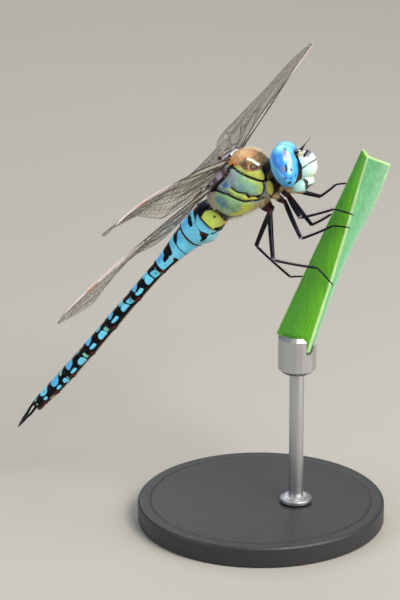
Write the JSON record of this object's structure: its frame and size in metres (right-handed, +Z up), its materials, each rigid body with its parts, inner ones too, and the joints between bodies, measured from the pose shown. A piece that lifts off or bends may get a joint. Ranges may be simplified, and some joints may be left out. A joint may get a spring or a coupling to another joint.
{
  "type": "dragonfly",
  "caption": "Life-size still model of a blue and black hawker dragonfly gripping a cut length of strap leaf, held on a flat round display stand by a short rod.",
  "frame": {"origin": "middle of the stand base's underside", "axes": "+Z up, +X the way the dragonfly faces, +Y to its left"},
  "size_m": [0.0547, 0.0869, 0.0579],
  "materials": {
    "shell_black": "satin insect shell, black with a blue-violet sheen",
    "shell_blue": "satin insect shell, sky blue marked with black",
    "shell_green": "satin insect shell, yellow-green to grey-blue with black seams",
    "face_pale": "pale mint shell with black lines",
    "eye_blue": "glossy sky blue compound eye",
    "leg_black": "glossy black leg shell with fine spines",
    "wing_clear": "clear membrane with a net of dark brown veins",
    "leaf_green": "fresh strap leaf with parallel veins",
    "stand_steel": "fine brushed steel rod and clip",
    "stand_paint": "satin black painted steel plate"
  },
  "bodies": {
    "root": {"abdomen_01": "shell_green", "abdomen_02": "shell_blue", "abdomen_03": "shell_blue", "abdomen_04": "shell_black", "abdomen_05": "shell_black", "abdomen_06": "shell_black", "abdomen_07": "shell_black", "abdomen_08": "shell_black", "abdomen_09": "shell_black", "abdomen_10": "shell_black", "antenna_left": "shell_black", "antenna_right": "shell_black", "appendage_left": "shell_black", "appendage_lower": "shell_black", "appendage_right": "shell_black", "eye_left": "eye_blue", "eye_right": "eye_blue", "face": "face_pale", "head": "shell_black", "labium": "shell_black", "labrum": "face_pale", "leg_front_left_coxa": "shell_green", "leg_front_left_femur": "leg_black", "leg_front_left_foot": "leg_black", "leg_front_left_tibia": "leg_black", "leg_front_right_coxa": "shell_green", "leg_front_right_femur": "leg_black", "leg_front_right_foot": "leg_black", "leg_front_right_tibia": "leg_black", "leg_hind_left_coxa": "shell_green", "leg_hind_left_femur": "leg_black", "leg_hind_left_foot": "leg_black", "leg_hind_left_tibia": "leg_black", "leg_hind_right_coxa": "shell_green", "leg_hind_right_femur": "leg_black", "leg_hind_right_foot": "leg_black", "leg_hind_right_tibia": "leg_black", "leg_middle_left_coxa": "shell_green", "leg_middle_left_femur": "leg_black", "leg_middle_left_foot": "leg_black", "leg_middle_left_tibia": "leg_black", "leg_middle_right_coxa": "shell_green", "leg_middle_right_femur": "leg_black", "leg_middle_right_foot": "leg_black", "leg_middle_right_tibia": "leg_black", "mandible_left": "face_pale", "mandible_right": "face_pale", "prothorax": "shell_green", "stand_base": "stand_paint", "stand_clip": "stand_steel", "stand_perch": "leaf_green", "stand_rod": "stand_steel", "thorax": "shell_green", "vertex": "shell_black", "wing_front_left": "wing_clear", "wing_front_right": "wing_clear", "wing_hind_left": "wing_clear", "wing_hind_right": "wing_clear"}
  },
  "joints": []
}
